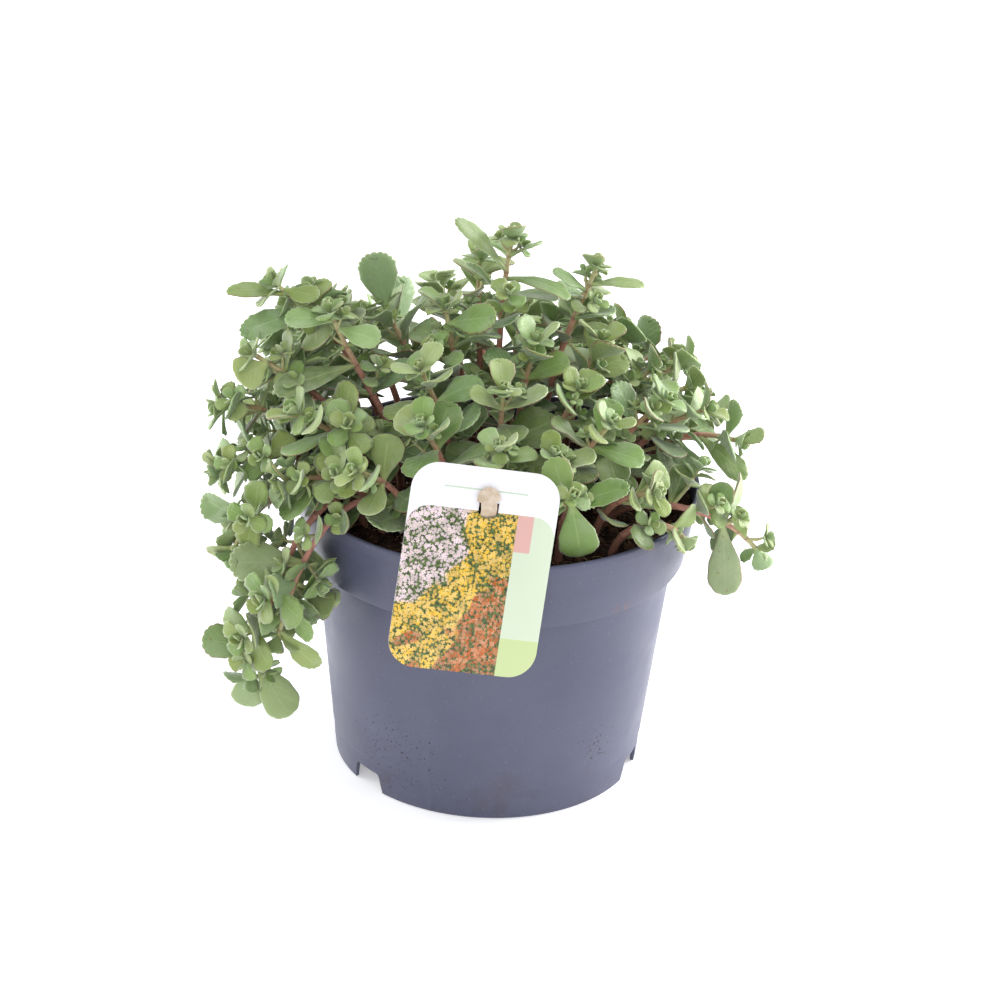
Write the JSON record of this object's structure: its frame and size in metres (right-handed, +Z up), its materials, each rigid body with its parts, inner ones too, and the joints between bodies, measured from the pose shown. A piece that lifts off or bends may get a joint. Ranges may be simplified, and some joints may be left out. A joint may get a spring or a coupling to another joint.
{
  "type": "potted two-row stonecrop",
  "caption": "Low spreading stonecrop with scalloped green leaves, growing in a round plastic nursery pot of soil with a plant label hung over the rim.",
  "frame": {"origin": "on the pot's axis, in the plane that the pot's floor stands on", "axes": "+Z up along the pot's axis, -Y to the front where the label hangs over the rim, +X to the right seen from the front"},
  "size_m": [0.2371, 0.2112, 0.236],
  "materials": {
    "pot_plastic": "satin moulded plastic, blue-grey",
    "soil": "dark crumbly potting soil with fibres and white grains",
    "label_card": "printed plastic card, satin",
    "label_stake": "tan moulded plastic",
    "leaf": "slightly fleshy green leaf, satin",
    "stem": "smooth pinkish brown stem, satin"
  },
  "bodies": {
    "root": {"pot": "pot_plastic", "soil": "soil", "label_card": "label_card", "label_stake": "label_stake", "leafy_shoot_01": "leaf", "leafy_shoot_02": "leaf", "leafy_shoot_03": "leaf", "leafy_shoot_04": "leaf", "leafy_shoot_05": "leaf", "leafy_shoot_06": "leaf", "leafy_shoot_07": "leaf", "leafy_shoot_08": "leaf", "leafy_shoot_09": "leaf", "leafy_shoot_10": "leaf", "leafy_shoot_11": "leaf", "leafy_shoot_12": "leaf", "leafy_shoot_13": "leaf", "leafy_shoot_14": "leaf", "leafy_shoot_15": "leaf", "leafy_shoot_16": "leaf", "leafy_shoot_17": "leaf", "leafy_shoot_18": "leaf", "leafy_shoot_19": "leaf", "leafy_shoot_20": "leaf", "leafy_shoot_21": "leaf", "leafy_shoot_22": "leaf", "leafy_shoot_23": "leaf", "leafy_shoot_24": "leaf", "leafy_shoot_25": "leaf", "leafy_shoot_26": "leaf", "leafy_shoot_27": "leaf", "leafy_shoot_28": "leaf", "leafy_shoot_29": "leaf", "leafy_shoot_30": "leaf", "leafy_shoot_31": "leaf", "leafy_shoot_32": "leaf", "leafy_shoot_33": "leaf", "leafy_shoot_34": "leaf", "leafy_shoot_35": "leaf", "leafy_shoot_36": "leaf", "leafy_shoot_37": "leaf", "leafy_shoot_38": "leaf", "leafy_shoot_39": "leaf", "leafy_shoot_40": "leaf", "leafy_shoot_41": "leaf", "leafy_shoot_42": "leaf", "leafy_shoot_43": "leaf", "leafy_shoot_44": "leaf", "leafy_shoot_45": "leaf", "leafy_shoot_46": "leaf", "leafy_shoot_47": "leaf", "leafy_shoot_48": "leaf"}
  },
  "joints": []
}
